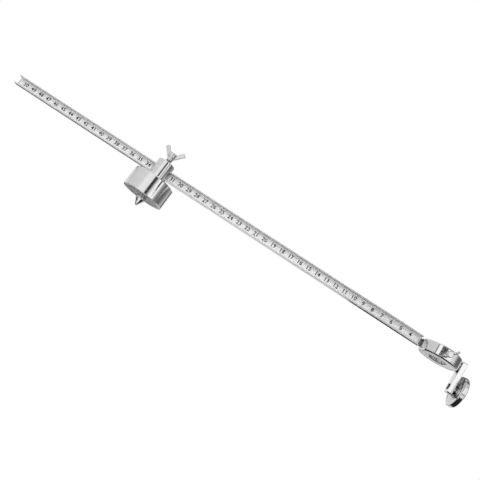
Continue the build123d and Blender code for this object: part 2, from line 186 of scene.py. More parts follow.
# Pale paper that the camera sees lifted to white. Seen from below, it is clear.
def makeFloor():
    s = floorSettings
    half = s["halfSize"]
    material, tree, shader = shadedMaterial("floorPaper")
    rays = addNode(tree, "ShaderNodeLightPath", {}).outputs
    seen = mathNode(tree, "MAXIMUM", rays["Is Camera Ray"], rays["Is Transmission Ray"])
    lift = mathNode(tree, "MULTIPLY", seen, s["lift"])
    lift = mathNode(tree, "MULTIPLY_ADD", rays["Is Glossy Ray"], s["glossyLift"], lift)
    feed(tree, shader, {"Base Color": s["colour"], "Roughness": s["rough"], "Emission Color": (1.0, 1.0, 1.0),
                        "Emission Strength": lift})
    below = addNode(tree, "ShaderNodeNewGeometry", {}).outputs["Backfacing"]
    clear = addNode(tree, "ShaderNodeBsdfTransparent", {}).outputs[0]
    oneSided = addNode(tree, "ShaderNodeMixShader", {0: below, 1: shader.outputs[0], 2: clear})
    feed(tree, tree.nodes["Material Output"], {"Surface": oneSided.outputs[0]})
    corners = rectangle((-half, -half), (half, half), s["height"])
    makeMesh("floor", corners, [(0, 1, 2, 3)], material)


# Cards that the metal alone sees. Upright: a white one in front of the ring, a thin black one
# beside it and a black one that only the bar's right half mirrors.
uprightCards = {
    "whiteCard": {"from": (0.159, -0.185), "to": (0.547, -0.232), "low": 0.02, "high": 0.30, "level": 1.05},
    "blackCard": {"from": (0.1458, -0.1727), "to": (0.159, -0.185), "low": 0.02, "high": 0.30, "level": 0.0},
    "lipCard": {"from": (0.236, -0.1914), "to": (0.345, -0.2046), "low": 0.0735, "high": 0.26, "level": 0.0},
}

# Flat, just over the floor: dark ones under the head, under the ring and far behind both halves of
# the bar.
flatCards = {
    "underCard": {"low": (-0.45, -0.095), "high": (0.15, 0.16), "level": 0.02},
    "ringCard": {"low": (0.15, -0.30), "high": (0.62, 0.16), "level": 0.02},
    "backCard": {"low": (-1.6, 0.35), "high": (-0.33, 2.6), "level": 0.20},
    "railCard": {"low": (0.31, 0.50), "high": (0.53, 1.70), "level": 0.05},
}
flatCardHeight = -0.155

# Grey strips on the floor all round, which give the polished sides bands in views from above.
stripSettings = {"count": 9, "middle": (0.08, 0.0), "inner": 0.20, "outer": 0.74, "share": 0.36,
                 "firstDegrees": 12.0, "height": -0.157, "level": 0.20}


def makeCard(name, corners, level):
    material = bpy.data.materials.new(name)
    tree = emptyTree(material)
    glow = addNode(tree, "ShaderNodeEmission", {"Color": (level, level, level)})
    addNode(tree, "ShaderNodeOutputMaterial", {0: glow.outputs[0]})
    card = makeMesh(name, corners, [(0, 1, 2, 3)], material)
    card.visible_camera = False
    card.visible_diffuse = False
    card.visible_shadow = False


def makeCards():
    for name, s in uprightCards.items():
        low, high = s["low"], s["high"]
        corners = [(*s["from"], low), (*s["to"], low), (*s["to"], high), (*s["from"], high)]
        makeCard(name, corners, s["level"])
    for name, s in flatCards.items():
        makeCard(name, rectangle(s["low"], s["high"], flatCardHeight), s["level"])
    s = stripSettings
    half = math.pi / s["count"] * s["share"]
    x, y = s["middle"]
    for k in range(s["count"]):
        turn = math.radians(s["firstDegrees"]) + k * fullTurn / s["count"]
        ends = [(s["inner"], turn - half), (s["outer"], turn - half), (s["outer"], turn + half),
                (s["inner"], turn + half)]
        corners = [(x + r * math.cos(a), y + r * math.sin(a), s["height"]) for r, a in ends]
        makeCard("strip" + str(k), corners, s["level"])


lampSettings = {
    "frontSoftbox": {"place": (0.02, -0.75, 0.62), "aim": (0.08, 0.0, 0.03), "size": (0.9, 0.5),
                     "watts": 5.6},
    "leftSoftbox": {"place": (-0.75, -0.15, 0.35), "aim": (0.0, 0.0, 0.03), "size": (0.6, 0.6),
                    "watts": 3.2},
    "topSoftbox": {"place": (0.1, 0.25, 0.9), "aim": (0.08, 0.0, 0.03), "size": (0.9, 0.6), "watts": 4.0},
}


def makeLamps():
    for name, values in lampSettings.items():
        data = bpy.data.lights.new(name, "AREA")
        data.shape = "RECTANGLE"
        data.size, data.size_y = values["size"]
        data.energy = values["watts"]
        lamp = bpy.data.objects.new(name, data)
        lamp.matrix_world = lookingMatrix(values)
        lamp.visible_camera = False
        lamp.visible_glossy = False
        scene.collection.objects.link(lamp)


makeCamera()
makeWorld()
makeFloor()
makeCards()
makeLamps()
print("camera, world, floor, cards and lamps made")


# Noise as a value from 0 to 1.
def noiseNode(tree, sockets, dimensions="3D"):
    return addNode(tree, "ShaderNodeTexNoise", sockets, noise_dimensions=dimensions).outputs["Fac"]


# How far a value lies along the way from one level to another, cut off at 0 and 1.
def rangeNode(tree, value, start, end, **settings):
    sockets = {"Value": value, "From Min": start, "From Max": end}
    return addNode(tree, "ShaderNodeMapRange", sockets, **settings).outputs["Result"]


# A node group, from its inputs' values and a function that works out what its outputs give.
def makeGroup(name, inputs, workOut):
    group = bpy.data.node_groups.new(name, "ShaderNodeTree")
    for socket, value in inputs.items():
        kind = "NodeSocketFloat" if isinstance(value, float) else "NodeSocketVector"
        made = group.interface.new_socket(socket, in_out="INPUT", socket_type=kind)
        if value is not None:
            made.default_value = value
    outputs = workOut(group, group.nodes.new("NodeGroupInput").outputs)
    for socket, value in outputs.items():
        kind = "NodeSocketFloat" if value.type == "VALUE" else "NodeSocketVector"
        group.interface.new_socket(socket, in_out="OUTPUT", socket_type=kind)
    feed(group, group.nodes.new("NodeGroupOutput"), outputs)
    return group


# Lathe lines: noise along one line, of the distance from the turning axis plus the height along it.
def latheLines(tree, given):
    place = splitNode(tree, given["Vector"])
    across = mathNode(tree, "MULTIPLY", place["X"], place["X"])
    radius = mathNode(tree, "SQRT", mathNode(tree, "MULTIPLY_ADD", place["Y"], place["Y"], across))
    along = mathNode(tree, "ADD", radius, place["Z"])
    fine = mathNode(tree, "MULTIPLY", along, given["Lines per metre"])
    broad = mathNode(tree, "MULTIPLY", along, given["Broad lines per metre"])
    return {
        "Height": noiseNode(tree, {"W": fine, "Scale": 1.0, "Detail": 2.0}, "1D"),
        "Shade": noiseNode(tree, {"W": broad, "Scale": 1.0, "Detail": 3.0}, "1D"),
    }


# Grain of drawn or ground metal: noise that is stretched along the piece.
def stretchedGrain(tree, given):
    sockets = {0: given["Vector"], 1: given["Stretch"]}
    longer = addNode(tree, "ShaderNodeVectorMath", sockets, operation="MULTIPLY").outputs[0]
    return {
        "Height": noiseNode(tree, {"Vector": longer, "Scale": 1.0, "Detail": 4.0, "Roughness": 0.6}),
        "Shade": noiseNode(tree, {"Vector": longer, "Scale": 0.23, "Detail": 2.0}),
    }


# Levels of noise, distance or angle between which each effect goes from none to full.
effectLevels = {"smudge": (0.48, 0.74), "scratch": (0.012, 0.004), "worn": (0.995, 0.90),
                "wornPatch": (0.35, 0.6), "streak": (0.35, 0.75), "thinPrint": (0.58, 0.75)}


# Smudges from handling and a few hairline scratches, as masks.
def smudgesAndScratches(tree, given):
    where = given["Vector"]
    cloud = noiseNode(tree, {"Vector": where, "Scale": given["Smudges per metre"], "Detail": 4.0,
                             "Roughness": 0.55, "Distortion": 0.6})
    smudge = rangeNode(tree, cloud, *effectLevels["smudge"], interpolation_type="SMOOTHSTEP")
    wander = addNode(tree, "ShaderNodeTexNoise", {"Vector": where, "Scale": 90.0, "Detail": 1.0})
    sockets = {0: wander.outputs["Color"], "Scale": 0.004}
    bent = addNode(tree, "ShaderNodeVectorMath", sockets, operation="SCALE").outputs[0]
    moved = addNode(tree, "ShaderNodeVectorMath", {0: where, 1: bent}, operation="ADD").outputs[0]
    sockets = {"Vector": moved, "Scale": given["Scratches per metre"]}
    cells = addNode(tree, "ShaderNodeTexVoronoi", sockets, feature="DISTANCE_TO_EDGE")
    line = rangeNode(tree, cells.outputs["Distance"], *effectLevels["scratch"])
    return {"Smudge": smudge, "Scratch": mathNode(tree, "MULTIPLY", line, smudge, clamp=True)}


# Worn edges: how far the softened normal turns from the true one. Painted shade: crevices, where
# faces close by block the light as ambient occlusion finds, are darkened in the colour.
def edgesAndCrevices(tree, given):
    soft = addNode(tree, "ShaderNodeBevel", {"Radius": given["Reach"]}, samples=6).outputs[0]
    sockets = {0: soft, 1: addNode(tree, "ShaderNodeNewGeometry", {}).outputs["Normal"]}
    same = addNode(tree, "ShaderNodeVectorMath", sockets, operation="DOT_PRODUCT").outputs["Value"]
    bare = rangeNode(tree, same, *effectLevels["worn"])
    patch = noiseNode(tree, {"Vector": given["Vector"], "Scale": 700.0, "Detail": 3.0})
    uneven = rangeNode(tree, patch, *effectLevels["wornPatch"])
    light = addNode(tree, "ShaderNodeAmbientOcclusion", {"Distance": 0.006}, samples=24).outputs["AO"]
    return {
        "Edge": mathNode(tree, "MULTIPLY", bare, uneven, clamp=True), "Normal": soft,
        "Painted crevice shade": rangeNode(tree, light, given["Painted shade from"], given["Painted shade to"]),
    }


turnedLines = makeGroup(
    "turnedLines", {"Vector": None, "Lines per metre": 4000.0, "Broad lines per metre": 500.0}, latheLines)
drawnGrain = makeGroup("drawnGrain", {"Vector": None, "Stretch": (30.0, 3000.0, 3000.0)}, stretchedGrain)
handlingMarks = makeGroup(
    "handlingMarks", {"Vector": None, "Smudges per metre": 120.0, "Scratches per metre": 260.0},
    smudgesAndScratches)
wornEdgesAndPaintedShade = makeGroup(
    "wornEdgesAndPaintedShade", {"Reach": 0.0004, "Vector": None, "Painted shade from": 0.60, "Painted shade to": 0.28}, edgesAndCrevices)
print("shared effects made")


# A CAD piece's lowest and highest corner in millimetres, and its middle.
def boxMm(node):
    low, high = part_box(node)
    return np.array(low[:]) / mm, np.array(high[:]) / mm


def middleMm(node):
    low, high = boxMm(node)
    return (low + high) / 2


ringZ, wheelZ, barZ = (middleMm(name)[2] for name in ("torch_ring", "wheel_rim", "scale_bar"))
ringEnd, ringRadius = boxMm("torch_ring")[1][:2]
ringX = ringEnd - ringRadius

# What the metals were turned about: a direction and a place, in metres.
turnDirections = {"Z": (0.0, 0.0, 0.0), "X": (0.0, math.pi / 2, 0.0)}
headAxis = ("Z", (0.0, 0.0, 0.0))
ringAxis = ("Z", (ringX * mm, 0.0, 0.0))
wheelAxis = ("X", (middleMm("wheel_rim")[0] * mm, 0.0, wheelZ * mm))

# What every metal has unless it says otherwise: what smudges, scratches and worn edges add to its
# roughness, how much brighter worn edges are and how dark the painted shade in crevices is, how far in
# the edges are worn, and the open shares between which a crevice's painted shade goes from none to full.
metalDefaults = {"metallic": 1.0, "smudge": 0.10, "scratch": 0.12, "edge": 0.10, "edgeShine": 1.06,
                 "paintedShadeLevel": 0.06, "wear": 0.00025, "paintedShadeRange": (0.60, 0.28)}

# Each metal: its colour and darker streak colour, its roughness, the depth of its machining lines
# in metres, and the axis that it was turned about, or the stretch of its grain.
metalSettings = {
    "baseChrome": {"colour": (0.90, 0.90, 0.91), "streak": (0.82, 0.82, 0.83), "rough": 0.10,
                   "depth": 3e-7, "about": headAxis},
    "ringChrome": {"colour": (0.88, 0.88, 0.89), "streak": (0.78, 0.78, 0.79), "rough": 0.09,
                   "depth": 3e-7, "paintedShadeRange": (0.64, 0.42), "about": ringAxis},
    "wheelSteel": {"colour": (0.82, 0.82, 0.83), "streak": (0.66, 0.66, 0.67), "rough": 0.14,
                   "depth": 8e-7, "about": wheelAxis},
    "bearingSteel": {"colour": (0.80, 0.80, 0.81), "streak": (0.66, 0.66, 0.67), "rough": 0.12,
                     "smudge": 0.08, "depth": 4e-7, "about": wheelAxis},
    "shieldSteel": {"colour": (0.60, 0.60, 0.61), "streak": (0.46, 0.46, 0.47), "rough": 0.28,
                    "smudge": 0.12, "depth": 6e-7, "about": wheelAxis},
    "bracketSteel": {"colour": (0.90, 0.90, 0.91), "streak": (0.80, 0.80, 0.81), "rough": 0.12,
                     "depth": 4e-7, "grain": (2500.0, 2500.0, 40.0)},
    "barSteel": {"colour": (0.84, 0.84, 0.85), "streak": (0.76, 0.76, 0.77), "rough": 0.09,
                 "smudge": 0.08, "depth": 3e-7, "wear": 0.00004, "paintedShadeRange": (0.20, 0.05),
                 "inside": (barZ * mm, 0.0050, 0.30), "grain": (30.0, 1200.0, 1200.0)},
    "scaleFace": {"colour": (0.90, 0.90, 0.90), "streak": (0.85, 0.85, 0.85), "rough": 0.42,
                  "smudge": 0.06, "depth": 3e-7, "wear": 0.00004, "metallic": 0.5,
                  "paintedShadeRange": (0.20, 0.05), "grain": (40.0, 1000.0, 1000.0)},
    "zincPlate": {"colour": (0.84, 0.845, 0.85), "streak": (0.70, 0.705, 0.72), "rough": 0.24,
                  "smudge": 0.12, "depth": 1.5e-6, "grain": (500.0, 500.0, 500.0)},
    "fastenerSteel": {"colour": (0.74, 0.75, 0.77), "streak": (0.58, 0.59, 0.62), "rough": 0.24,
                      "smudge": 0.12, "depth": 2e-6, "paintedShadeRange": (0.74, 0.44),
                      "grain": (1500.0, 1500.0, 1500.0)},
    "pointSteel": {"colour": (0.78, 0.78, 0.79), "streak": (0.62, 0.62, 0.63), "rough": 0.16,
                   "depth": 8e-7, "about": headAxis},
    "springSteel": {"colour": (0.60, 0.60, 0.61), "streak": (0.45, 0.45, 0.46), "rough": 0.26,
                    "depth": 1e-6, "grain": (1200.0, 1200.0, 1200.0)},
    "turnedBrass": {"colour": (0.58, 0.44, 0.25), "streak": (0.44, 0.32, 0.17), "rough": 0.24,
                    "smudge": 0.12, "depth": 8e-7, "about": headAxis},
    "magnetNickel": {"colour": (0.34, 0.34, 0.35), "streak": (0.24, 0.24, 0.25), "rough": 0.30,
                     "smudge": 0.15, "depth": 1e-6, "about": headAxis},
}


def placeGroup(tree, group, sockets):
    return addNode(tree, "ShaderNodeGroup", sockets, node_tree=group).outputs


# A metal whose machining lines, smudges, scratches and worn edges change its colour, gloss and normal,
# with painted shade darkening its crevices.
def makeMetal(name, values):
    s = {**metalDefaults, **values}
    material, tree, shader = shadedMaterial(name)
    where = addNode(tree, "ShaderNodeTexCoord", {}).outputs["Object"]
    if "about" in s:
        axis, centre = s["about"]
        sockets = {"Vector": where, "Location": centre, "Rotation": turnDirections[axis]}
        centred = addNode(tree, "ShaderNodeMapping", sockets, vector_type="TEXTURE")
        lines = placeGroup(tree, turnedLines, {"Vector": centred.outputs[0]})
    else:
        lines = placeGroup(tree, drawnGrain, {"Vector": where, "Stretch": s["grain"]})
    marks = placeGroup(tree, handlingMarks, {"Vector": where})
    paintedShadeFrom, paintedShadeTo = s["paintedShadeRange"]
    worn = placeGroup(tree, wornEdgesAndPaintedShade, {"Vector": where, "Reach": s["wear"], "Painted shade from": paintedShadeFrom,
                                       "Painted shade to": paintedShadeTo})
    streaked = rangeNode(tree, lines["Shade"], *effectLevels["streak"])
    base = mixColour(tree, streaked, s["colour"], s["streak"])
    base = mixColour(tree, worn["Edge"], base, tuple(min(1.0, c * s["edgeShine"]) for c in s["colour"]))
    # Painted shade: where ambient occlusion finds faces close by, the colour darkens to a near-black share of
    # itself.
    base = mixColour(tree, worn["Painted crevice shade"], base, tuple(c * s["paintedShadeLevel"] for c in s["colour"]))
    rough = mathNode(tree, "MULTIPLY_ADD", marks["Smudge"], s["smudge"], s["rough"])
    rough = mathNode(tree, "MULTIPLY_ADD", marks["Scratch"], s["scratch"], rough)
    rough = mathNode(tree, "MULTIPLY_ADD", worn["Edge"], s["edge"], rough, clamp=True)
    if "inside" in s:  # the faces nearer to the middle height than this are rougher
        middle, reach, extra = s["inside"]
        inside = mathNode(tree, "COMPARE", splitNode(tree, where)["Z"], middle, reach)
        rough = mathNode(tree, "MULTIPLY_ADD", inside, extra, rough)
    bump = addNode(tree, "ShaderNodeBump", {"Distance": s["depth"], "Strength": 1.0,
                                            "Height": lines["Height"], "Normal": worn["Normal"]})
    feed(tree, shader, {"Metallic": s["metallic"], "Base Color": base, "Roughness": rough,
                        "Normal": bump.outputs[0]})
    return material


metals = {name: makeMetal(name, values) for name, values in metalSettings.items()}

metalNodes = {
    "baseChrome": ("base_housing", "neck_block"), "ringChrome": ("torch_ring",),
    "wheelSteel": ("wheel_rim",), "bracketSteel": ("wheel_bracket",), "barSteel": ("scale_bar",),
    "scaleFace": ("scale_tape",), "zincPlate": ("clamp_screw", "torch_screw"),
    "fastenerSteel": ("tongue_screws", "bracket_screw", "axle_bolt", "bracket_washer", "axle_washer",
                      "axle_spacer", "thrust_washer"),
    "pointSteel": ("centre_point",), "springSteel": ("point_spring", "spindle_clip"),
    "bearingSteel": ("bearing_inner_race", "bearing_outer_race", "bearing_balls"),
    "shieldSteel": ("bearing_shields",), "magnetNickel": ("ring_magnet",),
    "turnedBrass": ("swivel_bush", "guide_sleeve", "clamp_tip", "torch_tip"),
}
for metal, names in metalNodes.items():
    for name in names:
        nodes[name].data.materials.clear()
        nodes[name].data.materials.append(metals[metal])
print("metals given to", len(nodes), "pieces")

# How points made along Z are turned to face each direction.
directionTurns = {
    "Z": np.eye(3),
    "X": np.array([[0.0, 0.0, 1.0], [0.0, 1.0, 0.0], [-1.0, 0.0, 0.0]]),
    "front": np.array([[1.0, 0.0, 0.0], [0.0, 0.0, -1.0], [0.0, 1.0, 0.0]]),
    "back": np.array([[1.0, 0.0, 0.0], [0.0, 0.0, 1.0], [0.0, -1.0, 0.0]]),
}
past = 1.0  # how far a cutter runs past the face that it cuts


# Points made along Z, in millimetres, turned to face a direction and moved to their place in metres.
def placedPoints(points, direction="Z", centre=(0.0, 0.0, 0.0), spin=0.0):
    c, s = math.cos(math.radians(spin)), math.sin(math.radians(spin))
    spun = points @ np.array([[c, s, 0.0], [-s, c, 0.0], [0.0, 0.0, 1.0]])
    return spun @ directionTurns[direction].T * mm + np.asarray(centre) * mm


# Each corner of an outline becomes an arc: centre plus radius times the turning unit vector, with a
# further point on each side, a little beyond the arc's end, so that flat stretches stay flat.
def roundedOutline(corners, steps=5, beyond=1.4):
    corners = np.asarray(corners, float)
    out = []
    for k, (x, y, radius) in enumerate(corners):
        here = np.array([x, y])
        if radius <= 0:
            out.append(here[None])
            continue
        before = corners[k - 1, :2] - here
        after = corners[(k + 1) % len(corners), :2] - here
        before, after = before / np.linalg.norm(before), after / np.linalg.norm(after)
        half = math.acos(np.clip(before @ after, -1, 1)) / 2
        reach = radius / math.tan(half)
        middle = here + (before + after) / np.linalg.norm(before + after) * radius / math.sin(half)
        first, last = here + before * reach - middle, here + after * reach - middle
        share = np.linspace(0, 1, steps)[:, None]
        sweep = math.pi - 2 * half
        arc = (np.sin((1 - share) * sweep) * first + np.sin(share * sweep) * last) / math.sin(sweep)
        out.append(np.vstack([here + before * reach * beyond, middle + arc, here + after * reach * beyond]))
    return np.vstack(out)


# Quads between neighbouring rows of a grid of points, whose columns close on themselves.
def gridFaces(rows, columns, closedRows=False):
    i = np.arange(rows if closedRows else rows - 1)[:, None]
    j = np.arange(columns)[None]
    row, nextRow, nextColumn = i * columns, (i + 1) % rows * columns, (j + 1) % columns
    return np.stack([row + j, row + nextColumn, nextRow + nextColumn, nextRow + j], axis=-1).reshape(-1, 4)


# Merges doubles, drops faces without area, points the faces outwards and marks the sharp edges.
def finishSurface(piece, sharpDegrees=32.0, weld=2e-7):
    work = bmesh.new()
    work.from_mesh(piece.data)
    bmesh.ops.remove_doubles(work, verts=work.verts, dist=weld)
    bmesh.ops.dissolve_degenerate(work, edges=work.edges, dist=weld)
    bmesh.ops.recalc_face_normals(work, faces=work.faces)
    work.to_mesh(piece.data)
    work.free()
    piece.data.shade_smooth()
    piece.data.set_sharp_from_angle(angle=math.radians(sharpDegrees))
    return piece


def evenTurns(count):
    return np.linspace(0, fullTurn, count, endpoint=False)


# A profile carried round an axis: x is radius times cosine, y radius times sine, z the height.
def spunPoints(radius, height, turn):
    return np.stack([radius * np.cos(turn), radius * np.sin(turn), height + 0 * turn], axis=-1).reshape(-1, 3)


# A turned piece. Its profile closes on itself, unless it starts on the axis.
def turnedSurface(name, outline, material, segments=160, direction="Z", centre=(0, 0, 0)):
    spun = spunPoints(outline[:, :1], outline[:, 1:2], evenTurns(segments))
    points = placedPoints(spun, direction, centre)
    faces = gridFaces(len(outline), segments, outline[0, 0] > 0)
    return finishSurface(makeMesh(name, points, faces, material))


# A flat closed outline pushed along its own axis, with both rims rounded by an inset that follows
# a quarter circle, and flat ends.
def plateSurface(name, outline, low, high, edge, material, direction="Z", centre=(0, 0, 0), steps=5):
    ahead = np.roll(outline, -1, axis=0) - np.roll(outline, 1, axis=0)
    inward = np.column_stack([-ahead[:, 1], ahead[:, 0]])
    inward /= np.linalg.norm(inward, axis=1, keepdims=True)
    quarter = np.linspace(0, math.pi / 2, steps)
    inset = np.concatenate([edge * (1 - np.sin(quarter)), edge * (1 - np.sin(quarter[::-1]))])
    rise = edge * (1 - np.cos(quarter))
    height = np.concatenate([low + rise, high - rise[::-1]])
    rings = outline[None] + inward[None] * inset[:, None, None]
    points = np.concatenate([rings, np.broadcast_to(height[:, None, None], rings.shape[:2] + (1,))], axis=-1)
    count, last = len(outline), (len(height) - 1) * len(outline)
    faces = [tuple(f) for f in gridFaces(len(height), count)]
    faces += [tuple(range(count))[::-1], tuple(range(last, last + count))]
    placed = placedPoints(points.reshape(-1, 3), direction, centre)
    return finishSurface(makeMesh(name, placed, faces, material))


# The mesh that an object's text or modifiers come to.
def finalMesh(owner):
    bpy.context.view_layer.update()
    return bpy.data.meshes.new_from_object(owner.evaluated_get(bpy.context.evaluated_depsgraph_get()))


def pointsAndFaces(mesh):
    return np.array([v.co[:] for v in mesh.vertices]), [tuple(p.vertices) for p in mesh.polygons]


def bakeModifiers(piece):
    shape = finalMesh(piece)
    piece.modifiers.clear()
    old = piece.data
    shape.name = piece.name
    piece.data = shape
    bpy.data.meshes.remove(old)


# Joins or cuts one closed surface with others, for good.
def combine(piece, others, operation="DIFFERENCE"):
    for other in others:
        step = piece.modifiers.new("step", "BOOLEAN")
        step.operation = operation
        step.solver = "EXACT"
        step.object = other
    bakeModifiers(piece)
    for other in others:
        bpy.data.objects.remove(other)
    return finishSurface(piece)


# Puts several separate surfaces into one piece.
def joinPieces(piece, others):
    work = bmesh.new()
    for part in [piece] + others:
        work.from_mesh(part.data)
    work.to_mesh(piece.data)
    work.free()
    for part in others:
        bpy.data.objects.remove(part)
    return finishSurface(piece)


# A rectangle about its middle, with an arc at each corner.
def roundPlan(width, height, corner):
    w, h = width / 2, height / 2
    return roundedOutline([(-w, -h, corner), (w, -h, corner), (w, h, corner), (-w, h, corner)], steps=7)


# A turned cutter, from the line of its side, which is closed on the axis.
def holeCutter(side, direction="Z", centre=(0, 0, 0)):
    outline = np.array([(0.0, side[0][1]), *side, (0.0, side[-1][1])])
    return turnedSurface("cutter", outline, None, 96, direction, centre)


# A six-sided cutter: its corners lie at the width across flats over the square root of three.
def hexagonCutter(across, low, high, direction, centre, spin):
    turn = np.arange(6) * math.pi / 3 + math.radians(spin)
    outline = np.column_stack([np.cos(turn), np.sin(turn)]) * across / math.sqrt(3)
    points = np.vstack([np.column_stack([outline, np.full(6, z)]) for z in (low, high)])
    faces = [tuple(f) for f in gridFaces(2, 6)] + [(5, 4, 3, 2, 1, 0), (6, 7, 8, 9, 10, 11)]
    return finishSurface(makeMesh("cutter", placedPoints(points, direction, centre), faces))


# Says which body a piece moves with, and hides the CAD pieces that it stands for.
def dress(piece, body, slot, *replaced):
    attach(piece, body)
    if replaced:
        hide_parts(*replaced)


housingSettings = {
    "pocketRadius": 18.05, "pocketRoof": 8.2, "pocketSoft": 0.2, "flangeRadius": 9.95, "flangeHeight": 1.4,
    "clipRadius": 8.6, "boreRadius": 6.52, "boreSoft": 0.15, "roof": 3.2, "topChamfer": 1.1,
    "footEdge": 0.5, "soft": 0.35,
}


# The turned base: open pocket for the magnet, seat for the sleeve's flange, clip room and bore.
def makeHousing():
    low, high = boxMm("base_housing")
    s = housingSettings
    radius, bottom, top = high[0], low[2], high[2]
    seat, roof = bottom + s["pocketRoof"], top - s["roof"]
    flange = seat + s["flangeHeight"]
    outline = roundedOutline([
        (s["pocketRadius"], bottom, s["pocketSoft"]), (radius, bottom, s["footEdge"]),
        (radius, top - s["topChamfer"], s["soft"]), (radius - s["topChamfer"], top, s["soft"]),
        (s["boreRadius"], top, s["boreSoft"]), (s["boreRadius"], roof, 0), (s["clipRadius"], roof, 0),
        (s["clipRadius"], flange, 0), (s["flangeRadius"], flange, 0), (s["flangeRadius"], seat, 0),
        (s["pocketRadius"], seat, 0),
    ])
    dress(turnedSurface("baseShell", outline, metals["baseChrome"]), "base", "base_chrome", "base_housing")


magnetSettings = {"bore": 8.0, "edge": 0.6, "grooves": (11.0, 14.5), "grooveWidth": 0.35, "grooveDepth": 0.12,
                  "grooveSlope": 0.1, "grooveSoft": (0.08, 0.04)}


# A ring with rounded rims and two shallow turned grooves in the face that grips the work.
def makeMagnet():
    low, high = boxMm("ring_magnet")
    s = magnetSettings
    face, groove, (rim, foot) = low[2], low[2] + s["grooveDepth"], s["grooveSoft"]
    corners = [(s["bore"], high[2], 0), (s["bore"], face, s["edge"])]
    for start in s["grooves"]:
        end = start + s["grooveWidth"]
        corners += [(start, face, rim), (start + s["grooveSlope"], groove, foot), (end, groove, foot),
                    (end + s["grooveSlope"], face, rim)]
    corners += [(high[0], face, s["edge"]), (high[0], high[2], 0)]
    piece = turnedSurface("gripMagnet", roundedOutline(corners), metals["magnetNickel"])
    dress(piece, "base", "magnet_nickel", "ring_magnet")


neckSettings = {
    "spigotRadius": 5.0, "springBore": 3.5, "springRoof": 1.1, "grooveRadius": 4.3, "grooveFrom": 0.48,
    "grooveTo": 1.12, "floor": 3.2, "slotHeight": 10.7, "slotDepth": 6.3, "slotSoft": 0.05,
    "stemHole": 2.55, "stemFrom": 4.0, "topChamfer": 0.7, "soft": 0.25, "boreSoft": 0.1,
    "footSoft": 0.15, "mouth": 0.6,
}


# The turned neck with its hollow spigot, slotted across for the bar and bored from above.
def makeNeck():
    low, high = boxMm("neck_block")
    s = neckSettings
    radius, spigot, bottom, top = high[0], s["spigotRadius"], low[2], high[2]
    shoulder = boxMm("thrust_washer")[1][2]
    floor = shoulder + s["floor"]
    roof = floor - s["springRoof"]
    outline = roundedOutline([
        (0, roof, 0), (s["springBore"], roof, 0), (s["springBore"], bottom, s["boreSoft"]),
        (spigot, bottom, s["footSoft"]), (spigot, bottom + s["grooveFrom"], 0),
        (s["grooveRadius"], bottom + s["grooveFrom"], 0), (s["grooveRadius"], bottom + s["grooveTo"], 0),
        (spigot, bottom + s["grooveTo"], 0), (spigot, shoulder, 0), (radius, shoulder, s["soft"]),
        (radius, top - s["topChamfer"], s["soft"]), (radius - s["topChamfer"], top, s["soft"]), (0, top, 0),
    ])
    neck = turnedSurface("neckBody", outline, metals["baseChrome"])
    slotPlan = roundPlan(radius * 2 + past * 4, s["slotDepth"], s["slotSoft"])
    slot = plateSurface("cutter", slotPlan, floor, floor + s["slotHeight"], s["slotSoft"], None)
    hole, mouth, start = s["stemHole"], s["mouth"], floor + s["stemFrom"]
    stem = holeCutter([(hole, start), (hole, top - mouth), (hole + mouth * 2, top + mouth)])
    dress(combine(neck, [slot, stem]), "neck", "neck_chrome", "neck_block")


ringSettings = {
    "bore": 8.25, "boreChamfer": 0.5, "boreSoft": 0.12, "topChamfer": 1.2, "footChamfer": 1.0, "soft": 0.3,
    "stepFrom": 10.6, "stepTo": 15.2, "stepDepth": 0.12, "stepSoft": 0.05, "flatRadius": 4.6,
    "flatDepth": 0.6, "tongueHeight": 8.0, "tongueThickness": 2.5, "tongueCorner": 1.5,
    "tongueEdge": 0.25, "tongueGap": 3.0, "sideHole": 2.05, "screwHole": 2.02, "screwHoleDepth": 7.5,
    "tongueHole": 1.6,
}


# The turned ring with a shallow step in each face, its tongue, its side flat and its holes.
def makeTorchRing():
    low, high = boxMm("torch_ring")
    s = ringSettings
    radius, bore, edge, deep = ringRadius, s["bore"], s["boreChamfer"], s["stepDepth"]

    def halfOutline(face, inwards, chamfer):
        floor = face + inwards * deep
        return [
            (bore, face + inwards * edge, s["boreSoft"]), (bore + edge, face, s["boreSoft"]),
            (s["stepFrom"], face, s["stepSoft"]), (s["stepFrom"] + deep, floor, s["stepSoft"]),
            (s["stepTo"] - deep, floor, s["stepSoft"]), (s["stepTo"], face, s["stepSoft"]),
            (radius - chamfer, face, s["soft"]), (radius, face + inwards * chamfer, s["soft"]),
        ]

    outline = roundedOutline(halfOutline(low[2], 1, s["footChamfer"])
                             + halfOutline(high[2], -1, s["topChamfer"])[::-1])
    ring = turnedSurface("torchHolder", outline, metals["ringChrome"], 192, "Z", (ringX, 0, 0))
    back, thickness = boxMm("scale_bar")[1][1], s["tongueThickness"]
    reach = ringX - bore - s["tongueGap"] - low[0]
    plan = roundPlan(reach, s["tongueHeight"], s["tongueCorner"])
    tongue = plateSurface("tongue", plan, back, back + thickness, s["tongueEdge"], metals["ringChrome"],
                          "back", (low[0] + reach / 2, 0, barZ))
    ring = combine(ring, [tongue], "UNION")
    side = ringX + radius
    holes = [
        (s["flatRadius"], side - s["flatDepth"], side + past, "X", (0, 0, ringZ)),
        (s["screwHole"], side - s["screwHoleDepth"], side, "X", (0, 0, ringZ)),
        (s["sideHole"], bore - past * 2, radius + past, "front", (ringX, 0, ringZ)),
    ]
    for at in tongueScrewPlaces():
        holes.append((s["tongueHole"], back - past, back + thickness + past, "back", (at, 0, barZ)))
    cutters = [holeCutter([(r, start), (r, end)], *place) for r, start, end, *place in holes]
    dress(combine(ring, cutters), "bar", "ring_chrome", "torch_ring")


# The middles of the two screws, worked out from the ends of their common box.
def tongueScrewPlaces():
    low, high = boxMm("tongue_screws")
    head = (high[2] - low[2]) / 2
    return low[0] + head, high[0] - head


bracketSettings = {"corner": 1.3, "edge": 0.4, "screwHole": 2.1, "sink": 3.45, "sinkDepth": 1.7,
                   "sinkRim": 0.25, "axleHole": 2.98, "mouth": 0.35}


